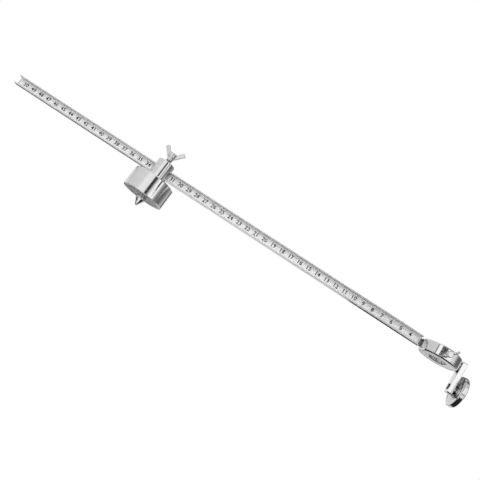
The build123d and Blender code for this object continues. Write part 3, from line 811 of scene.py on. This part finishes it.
# A flat upright with rounded ends and rims, drilled for its screw and the axle.
def makeBracket():
    low, high = boxMm("wheel_bracket")
    s = bracketSettings
    plan = roundPlan(high[2] - low[2], high[1] - low[1], s["corner"])
    plate = plateSurface("wheelUpright", plan, low[0], high[0], s["edge"], metals["bracketSteel"], "X",
                         (0, 0, middleMm("wheel_bracket")[2]))
    hole, axle, mouth, start, end = s["screwHole"], s["axleHole"], s["mouth"], low[0] - past, high[0] + past
    seat = [(hole, start), (hole, high[0] - s["sinkDepth"]), (s["sink"], high[0] - s["sinkRim"]),
            (s["sink"], end)]
    bore = [(axle + mouth + past, start), (axle, low[0] + mouth), (axle, end)]
    cutters = [holeCutter(seat, "X", (0, 0, ringZ)), holeCutter(bore, "X", (0, 0, wheelZ))]
    dress(combine(plate, cutters), "bar", "bracket_steel", "wheel_bracket")


# A piece turned about the wheel's axle, whose profile starts at a place along the bar.
def wheelSurface(name, outline, metal, start, segments=160):
    return turnedSurface(name, outline, metals[metal], segments, "X", (start, 0, wheelZ))


wheelSettings = {"bore": 7.52, "boreSoft": 0.15, "stepFrom": 8.8, "stepTo": 12.6, "stepDepth": 0.3,
                 "stepSlopes": (0.1, 0.25), "stepSoft": (0.1, 0.08, 0.12, 0.12), "edge": 0.65, "soft": 0.3}


# The wheel's section: a rounded tread and a shallow turned step in each face.
def makeWheel():
    low, high = boxMm("wheel_rim")
    s = wheelSettings
    radius, width, step, edge = high[1], high[0] - low[0], s["stepDepth"], s["edge"]
    (inner, outer), soft = s["stepSlopes"], s["stepSoft"]
    half = [(s["bore"], 0, s["boreSoft"]), (s["stepFrom"], 0, soft[0]),
            (s["stepFrom"] + inner, step, soft[1]), (s["stepTo"] - outer, step, soft[2]),
            (s["stepTo"], 0, soft[3]), (radius - edge, 0, s["soft"]), (radius, edge, s["soft"])]
    mirrored = [(r, width - z, rounding) for r, z, rounding in reversed(half)]
    piece = wheelSurface("guideWheel", roundedOutline(half + mirrored), "wheelSteel", low[0], 192)
    dress(piece, "wheel", "wheel_steel", "wheel_rim")


raceSettings = {"bore": 3.0, "innerWall": 1.3, "outerWall": 1.3, "edge": 0.3, "trackDepth": 0.45,
                "ballPlay": 0.05, "trackSteps": 9}


# A race with rounded corners and a groove of a circle's arc for the balls.
def makeRace(name, node, body, inner, outer, trackInside):
    low, high = boxMm(node)
    width, s = high[0] - low[0], raceSettings
    ballLow, ballHigh = boxMm("bearing_balls")
    ball = (ballHigh[0] - ballLow[0]) / 2 + s["ballPlay"]
    beside = ball - s["trackDepth"]  # from the ball's middle to the wall
    turn = np.linspace(-1, 1, s["trackSteps"]) * math.asin(math.sqrt(ball ** 2 - beside ** 2) / ball)
    wall, side = (inner, 1.0) if trackInside else (outer, -1.0)
    arc = [(wall + side * (ball * math.cos(a) - beside), width / 2 + ball * math.sin(a), 0) for a in turn]
    corners = [(r, z, s["edge"]) for r, z in ((inner, 0), (outer, 0), (outer, width), (inner, width))]
    corners = corners + arc[::-1] if trackInside else corners[:2] + arc + corners[2:]
    dress(wheelSurface(name, roundedOutline(corners), "bearingSteel", low[0]), body, "bearing_steel", node)


def makeBearing():
    s = raceSettings
    outer = boxMm("bearing_outer_race")[1][1]
    makeRace("outerRace", "bearing_outer_race", "wheel", outer - s["outerWall"], outer, True)
    makeRace("innerRace", "bearing_inner_race", "bar", s["bore"], s["bore"] + s["innerWall"], False)


shieldSettings = {"inner": 4.45, "outer": 6.18, "sheet": 0.25, "press": 0.16, "soft": 0.05}


# Two thin rings, pressed inwards at their middle: each follows the same stepped line out and back.
def makeShields():
    low, high = boxMm("bearing_shields")
    s = shieldSettings
    inner, outer, press = s["inner"], s["outer"], s["press"]
    rim = (outer - inner) / 4
    line = [(inner, 0), (inner + rim, 0), (inner + rim + press, press), (outer - rim, press),
            (outer - rim + press, 0), (outer, 0)]
    outline = roundedOutline([(r, z, s["soft"]) for r, z in line]
                             + [(r, z + s["sheet"], s["soft"]) for r, z in reversed(line)])
    left = wheelSurface("shields", outline, "shieldSteel", low[0], 128)
    right = wheelSurface("right", outline * (1.0, -1.0), "shieldSteel", high[0], 128)
    dress(joinPieces(left, [right]), "wheel", "shield_steel", "bearing_shields")


ballSettings = {"radius": 1.2, "circle": 5.25, "count": 7, "rows": 17, "columns": 28}


# Balls: the unit sphere in latitude and longitude, once for each place on the ball circle.
def makeBalls():
    s = ballSettings
    up = np.linspace(0, math.pi, s["rows"])[:, None]
    sphere = spunPoints(np.sin(up), np.cos(up), evenTurns(s["columns"])) * s["radius"]
    place = np.arange(s["count"]) * fullTurn / s["count"]
    centres = np.column_stack([np.full(s["count"], middleMm("bearing_balls")[0]),
                               s["circle"] * np.cos(place), s["circle"] * np.sin(place) + wheelZ])
    points = (sphere[None] + centres[:, None]).reshape(-1, 3) * mm
    faces = gridFaces(s["rows"], s["columns"])[None] + np.arange(s["count"])[:, None, None] * len(sphere)
    piece = finishSurface(makeMesh("balls", points, faces.reshape(-1, 4), metals["bearingSteel"]))
    dress(piece, "wheel", "bearing_steel", "bearing_balls")


springSettings = {"wire": 0.3, "turns": 7, "around": 12, "perTurn": 40, "sharpDegrees": 50.0}


# A helix tube, with its height in step with the turn: path plus wire times the turning unit vector
# between outwards and upwards.
def makeSpring():
    low, high = boxMm("point_spring")
    s = springSettings
    wire = s["wire"]
    coil, steps = (high[0] - low[0]) / 2 - wire, s["turns"] * s["perTurn"] + 1
    share = np.linspace(0, 1, steps)
    turn = share * s["turns"] * fullTurn
    height = low[2] + wire + share * (high[2] - low[2] - 2 * wire)
    path = np.column_stack([coil * np.cos(turn), coil * np.sin(turn), height])
    ahead = np.gradient(path, axis=0)
    ahead /= np.linalg.norm(ahead, axis=1, keepdims=True)
    outward = np.column_stack([np.cos(turn), np.sin(turn), np.zeros(steps)])
    upward = np.cross(ahead, outward)
    around = evenTurns(s["around"])[None, :, None]
    rings = path[:, None] + wire * (outward[:, None] * np.cos(around) + upward[:, None] * np.sin(around))
    points = np.concatenate([np.repeat(path[:1], s["around"], 0), rings.reshape(-1, 3),
                             np.repeat(path[-1:], s["around"], 0)]) * mm
    faces = gridFaces(steps + 2, s["around"])
    piece = finishSurface(makeMesh("pushSpring", points, faces, metals["springSteel"]), s["sharpDegrees"])
    dress(piece, "base", "spring_steel", "point_spring")
    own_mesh(piece)


pointSettings = {"tip": 0.75, "tipSoft": 0.45, "shank": 5.0, "shankSoft": 0.6, "cone": 7.4, "flange": 1.5,
                 "bore": 3.5, "nose": 1.6, "soft": 0.15}


# The sprung point: cone, shank, flange and the bore that holds the spring.
def makePoint():
    low, high = boxMm("centre_point")
    s = pointSettings
    bottom, top, foot, inside = low[2], high[2], high[2] - s["flange"], s["cone"] + s["nose"]
    outline = roundedOutline([
        (0, bottom, 0), (s["tip"], bottom, s["tipSoft"]), (s["shank"], s["cone"], s["shankSoft"]),
        (s["shank"], foot, 0), (high[0], foot, s["soft"]), (high[0], top, s["soft"]),
        (s["bore"], top, s["soft"]), (s["bore"], inside, 0), (0, inside, 0),
    ])
    piece = turnedSurface("sprungPoint", outline, metals["pointSteel"])
    dress(piece, "centre_point", "point_steel", "centre_point")


# The thread's rows of points in each pitch, how steep its flanks are, how much of its crest is
# flat, and how deep it starts and how fast it deepens at its foot.
threadSettings = {"rows": 12, "steep": 1.25, "crest": 0.1, "start": 0.4, "deepen": 2, "sharpDegrees": 40.0}


# One grid for a turned piece whose lower part is threaded: the profile's radius, less the thread's
# depth times a triangle wave of height over pitch minus the share of the turn.
def threadedSurface(name, foot, run, thread, upper, material, direction, centre, bore=None, segments=64):
    pitch, depth, radius, t = thread["pitch"], thread["depth"], thread["radius"], threadSettings
    height = np.linspace(foot, foot + run, int(run / pitch * t["rows"]) + 2)
    fadeIn = np.clip((height - foot) / pitch * t["deepen"] + t["start"], 0, 1)
    fade = np.clip((foot + run - height) / pitch, 0, 1) * fadeIn
    roof = foot + bore[1] if bore else foot
    lead = [(0.0, roof), (bore[0], roof), (bore[0], foot)] if bore else [(0.0, foot)]
    lead += [(radius - depth, foot)]
    profile = np.vstack([lead, np.column_stack([np.full(len(height), radius), height]), upper])
    cut = np.concatenate([np.zeros(len(lead)), depth * fade, np.zeros(len(upper))])
    turn = evenTurns(segments)
    wave = np.abs((profile[:, 1:] / pitch - turn / fullTurn) % 1.0 - 0.5) * 2
    across = profile[:, :1] - cut[:, None] * np.clip(t["steep"] * wave - t["crest"], 0, 1)
    points = placedPoints(spunPoints(across, profile[:, 1:], turn), direction, centre)
    piece = makeMesh(name, points, gridFaces(len(profile), segments), material)
    return finishSurface(piece, t["sharpDegrees"])


screwSettings = {
    "tongueScrews": {"radius": 1.5, "head": 2.75, "height": 1.65, "across": 2.0, "socket": 0.9,
                     "pitch": 0.5, "depth": 0.16, "spin": 14},
    "bracketScrew": {"radius": 2.0, "head": 3.4, "height": 1.6, "across": 2.5, "socket": 1.2,
                     "pitch": 0.7, "depth": 0.22, "spin": 11, "sunk": True, "sink": 0.1},
    "axleBolt": {"radius": 2.96, "head": 5.0, "height": 3.4, "across": 4.0, "socket": 1.9,
                 "pitch": 1.0, "depth": 0.32, "spin": 22, "sink": 0.0, "threaded": 4.2},
}

# What all the screws have: the plain length under the head, small edges, shares of the height and
# of the key's width for the rims, and the share of a quarter turn at which the dome starts.
headSettings = {"plain": 0.4, "root": 0.2, "edge": 0.15, "sunkEdge": 0.2, "sunkSoft": 0.1,
                "rimShare": 0.35, "footShare": 0.8, "socketShare": 0.72, "topShare": 0.9,
                "domeFrom": 0.12, "domeSteps": 12}


# A domed or sunk head on its threaded shank, with a hexagon socket.
def socketScrew(name, length, direction, centre, turned=0):
    s = {**headSettings, **screwSettings[name]}
    run = min(s.get("threaded", length), length - s["plain"])
    radius, head, height = s["radius"], s["head"], s["height"]
    rim, socketRim = height * s["rimShare"], s["across"] * s["socketShare"]
    if s.get("sunk"):
        upper = roundedOutline([(radius, 0, 0), (head, height - s["sunkEdge"], s["sunkSoft"]),
                                (head, height, s["sunkSoft"]), (0, height, 0)])
    else:
        turn = np.linspace(s["domeFrom"], 1, s["domeSteps"]) * math.pi / 2
        dome = np.column_stack([
            socketRim + (head - socketRim) * np.cos(turn), rim + (height - rim) * np.sin(turn),
        ])
        foot = [(radius, -s["root"]), (radius, 0), (head - s["edge"], 0), (head, s["edge"]),
                (head, rim * s["footShare"])]
        upper = np.vstack([foot, dome, [(socketRim * s["topShare"], height), (0.0, height)]])
    screw = threadedSurface(name, -length, run, s, upper, metals["fastenerSteel"], direction, centre)
    cutter = hexagonCutter(s["across"], height - s["socket"], height + past, direction, centre,
                           s["spin"] + turned)
    return combine(screw, [cutter])


# The screws, each seated under its head: two in the ring's tongue, one in the bracket, and the axle.
def makeScrews():
    low, high = boxMm("tongue_screws")
    seat, z = high[1] - screwSettings["tongueScrews"]["height"], middleMm("tongue_screws")[2]
    screws = [socketScrew("tongueScrews", seat - low[1], "back", (x, seat, z), 30 * k)
              for k, x in enumerate(tongueScrewPlaces())]
    dress(joinPieces(screws[0], screws[1:]), "bar", "fastener_steel", "tongue_screws")
    for name, node, flush, z in (("bracketScrew", "bracket_screw", "wheel_bracket", ringZ),
                                 ("axleBolt", "axle_bolt", "axle_bolt", wheelZ)):
        s = screwSettings[name]
        seat = boxMm(flush)[1][0] - s["height"] - s["sink"]
        piece = socketScrew(name, seat - boxMm(node)[0][0], "X", (seat, 0, z))
        dress(piece, "bar", "fastener_steel", node)


wingSettings = {
    "clampWings": {"radius": 2.5, "pitch": 0.8, "depth": 0.30, "collar": 3.25, "collarHeight": 3.5,
                   "hub": 4.35, "hubHeight": 5.6, "angle": 48.0, "reach": 10.6, "width": 4.5,
                   "corner": 1.1, "rise": 2.0, "bore": (1.05, 1.45), "voxel": 0.20, "stand": 2.9,
                   "spin": 0.0, "node": "clamp_screw"},
    "torchWings": {"radius": 2.0, "pitch": 0.7, "depth": 0.25, "collar": 2.6, "collarHeight": 1.2,
                   "hub": 3.0, "hubHeight": 3.6, "angle": 42.0, "reach": 7.0, "width": 3.4,
                   "corner": 0.9, "rise": 0.9, "bore": (0.85, 1.25), "voxel": 0.16, "stand": 2.0,
                   "spin": 45.0, "node": "torch_screw"},
}

# What both have: the ears' thickness and rims, the slope and soft edges of the hub, how far the
# casting is smoothed, how the stem ends in the hub, and its play in the tip.
castSettings = {"thickness": 2.0, "earEdge": 0.45, "slopeShare": 0.8, "slopeFoot": 0.2, "collarSoft": 0.3,
                "hubSoft": 0.5, "topSoft": 0.9, "smoothing": 0.6, "passes": 5, "threadIn": 0.3,
                "stemIn": (0.4, 1.0), "tipPlay": 0.05}


# Collar, hub and two slanting ears, melted together as a casting is and smoothed.
def wingHead(name, s, direction, centre):
    collar, hub, top = s["collar"], s["hub"], s["collarHeight"] + s["hubHeight"]
    slope = (hub - collar) * s["slopeShare"]
    body = roundedOutline([
        (0, 0, 0), (collar, 0, s["collarSoft"]),
        (collar, s["collarHeight"] - slope * s["slopeFoot"], s["collarSoft"]),
        (hub, s["collarHeight"] + slope, s["hubSoft"]), (hub, top, s["topSoft"]), (0, top, 0),
    ])
    head = turnedSurface(name, body, metals["zincPlate"], 96)
    c, n = math.cos(math.radians(s["angle"])), math.sin(math.radians(s["angle"]))
    run, start = s["reach"] / c, collar / 2
    plan = roundPlan(run - start, s["width"], s["corner"])
    blade = plateSurface("blade", plan, -s["thickness"] / 2, s["thickness"] / 2, s["earEdge"], None)
    flat, faces = pointsAndFaces(blade.data)
    along, wide, thick = (flat / mm + ((run + start) / 2, 0, 0)).T
    bpy.data.objects.remove(blade)
    parts = []
    for side in (1.0, -1.0):
        across = side * (along * c - wide * n)
        points = np.column_stack([across, side * -thick, s["rise"] + along * n + wide * c])
        parts.append(finishSurface(makeMesh("ear", points * mm, faces)))
    head = joinPieces(head, parts)
    melt = head.modifiers.new("melt", "REMESH")
    melt.mode = "VOXEL"
    melt.voxel_size = s["voxel"] * mm
    soft = head.modifiers.new("soft", "SMOOTH")
    soft.factor = s["smoothing"]
    soft.iterations = s["passes"]
    bakeModifiers(head)
    placed = placedPoints(pointsAndFaces(head.data)[0] / mm, direction, centre, s["spin"])
    head.data.vertices.foreach_set("co", placed.astype(np.float32).ravel())
    head.data.update()
    return head


# The wings on their threaded stem. The collar stands above the neck or the ring by a set height.
def makeWingScrew(name, face, tip, direction, centre):
    s = {**castSettings, **wingSettings[name]}
    seat, foot = face + s["stand"], tip - s["bore"][1] + s["tipPlay"]
    offset = {"Z": (0, 0, seat), "front": (0, -seat, 0)}[direction]
    head = wingHead(name, s, direction, np.asarray(centre) + offset)
    core, (start, end) = s["radius"] - s["depth"], s["stemIn"]
    upper = [(core, seat + start), (core, seat + end), (0.0, seat + end)]
    stem = threadedSurface("stem", foot, seat + s["threadIn"] - foot, s, upper, metals["zincPlate"],
                           direction, centre, s["bore"])
    dress(combine(head, [stem], "UNION"), s["node"], "screw_zinc", s["node"])


def makeWings():
    makeWingScrew("clampWings", boxMm("neck_block")[1][2], boxMm("clamp_tip")[1][2], "Z", (0, 0, 0))
    makeWingScrew("torchWings", ringRadius, -boxMm("torch_tip")[0][1], "front", (ringX, 0, ringZ))


makeHousing()
makeMagnet()
makeNeck()
makePoint()
makeSpring()
print("base, neck and point shaped")
makeTorchRing()
makeBracket()
print("ring and bracket shaped")
makeWheel()
makeBearing()
makeShields()
makeBalls()
print("wheel and bearing shaped")
makeScrews()
makeWings()
print("screws shaped")

printSettings = {"colour": (0.006, 0.006, 0.007), "worn": (0.03, 0.03, 0.03), "rough": 0.35,
                 "roughRange": 0.25}


# Black print that is a little thinner and glossier in patches.
def makePrintBlack():
    s = printSettings
    material, tree, shader = shadedMaterial("scalePrint")
    where = addNode(tree, "ShaderNodeTexCoord", {}).outputs["Object"]
    worn = noiseNode(tree, {"Vector": where, "Scale": 1800.0, "Detail": 3.0})
    thin = rangeNode(tree, worn, *effectLevels["thinPrint"])
    rough = mathNode(tree, "MULTIPLY_ADD", worn, s["roughRange"], s["rough"])
    feed(tree, shader, {"Base Color": mixColour(tree, thin, s["colour"], s["worn"]), "Roughness": rough})
    return material


# The scale, in metres: which numbers it has, which one is at the neck and where that lies, the
# digits and the lines. Heights are from the tip of the point.
scaleSettings = {
    "firstNumber": 4, "lastNumber": 50, "atNeck": 31.5, "neckPlace": 0.00925, "step": 0.010,
    "digitHeight": 0.0041, "digitSpacing": 0.0029, "digitCentre": 0.0418, "digitWeight": 0.022,
    "digitSteps": 3, "tickFoot": 0.0374, "tickLengths": (0.0010, 0.0014, 0.0020), "tickWidth": 0.00016,
    "proud": 0.00003,
}


# Where a number stands along the bar.
def scalePlace(number):
    return scaleSettings["neckPlace"] + (scaleSettings["atNeck"] - number) * scaleSettings["step"]


# Flat outlines of the ten digits from Blender's own font, as points and faces, one unit tall.
def digitShapes():
    shapes = {}
    for digit in "0123456789":
        curve = bpy.data.curves.new("digit" + digit, "FONT")
        curve.body = digit
        curve.align_x = "CENTER"
        curve.align_y = "CENTER"
        curve.resolution_u = scaleSettings["digitSteps"]
        curve.offset = scaleSettings["digitWeight"]
        text = bpy.data.objects.new("digit" + digit, curve)
        scene.collection.objects.link(text)
        mesh = finalMesh(text)
        points, faces = pointsAndFaces(mesh)
        shapes[digit] = (points - (points.max(axis=0) + points.min(axis=0)) / 2, faces)
        bpy.data.objects.remove(text)
        bpy.data.meshes.remove(mesh)
    tallest = max(np.ptp(points[:, 1]) for points, faces in shapes.values())
    return {digit: (points / tallest, faces) for digit, (points, faces) in shapes.items()}


# The printed numbers, each set digit by digit on the tape's front.
def makeScaleNumbers(material, front):
    s, shapes = scaleSettings, digitShapes()
    points, faces, count = [], [], 0
    for number in range(s["firstNumber"], s["lastNumber"] + 1):
        body = str(number)
        for k, digit in enumerate(body):
            shape, digitFaces = shapes[digit]
            across = scalePlace(number) + (k - (len(body) - 1) / 2) * s["digitSpacing"]
            points.append(np.column_stack([
                across + shape[:, 0] * s["digitHeight"], np.full(len(shape), front),
                s["digitCentre"] + shape[:, 1] * s["digitHeight"],
            ]))
            faces += [tuple(i + count for i in face) for face in digitFaces]
            count += len(shape)
    dress(makeMesh("scaleNumbers", np.vstack(points), faces, material), "bar", "scale_face")


# A thin upright bar for each millimetre, longer at five and ten.
def makeScaleTicks(material, front, end):
    s = scaleSettings
    step = s["step"] / 10
    first = scalePlace(s["lastNumber"]) - 5 * step
    index = np.arange(int((end - first) / step))
    short, middle, full = s["tickLengths"]
    top = s["tickFoot"] + np.where(index % 10 == 5, full, np.where(index % 5 == 0, middle, short))
    foot, across = np.full(len(index), s["tickFoot"]), np.full(len(index), front)
    left, right = (first + index * step + side * s["tickWidth"] / 2 for side in (-1, 1))
    sides = ((left, foot), (right, foot), (right, top), (left, top))
    corners = np.stack([np.column_stack([x, across, z]) for x, z in sides], axis=1).reshape(-1, 3)
    faces = np.arange(len(corners)).reshape(-1, 4)
    dress(makeMesh("scaleTicks", corners, faces, material), "bar", "scale_face")


tapeLow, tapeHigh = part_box("scale_tape")
printBlack, printFront = makePrintBlack(), tapeLow[1] - scaleSettings["proud"]
makeScaleNumbers(printBlack, printFront)
makeScaleTicks(printBlack, printFront, tapeHigh[0])
print("scale printed")
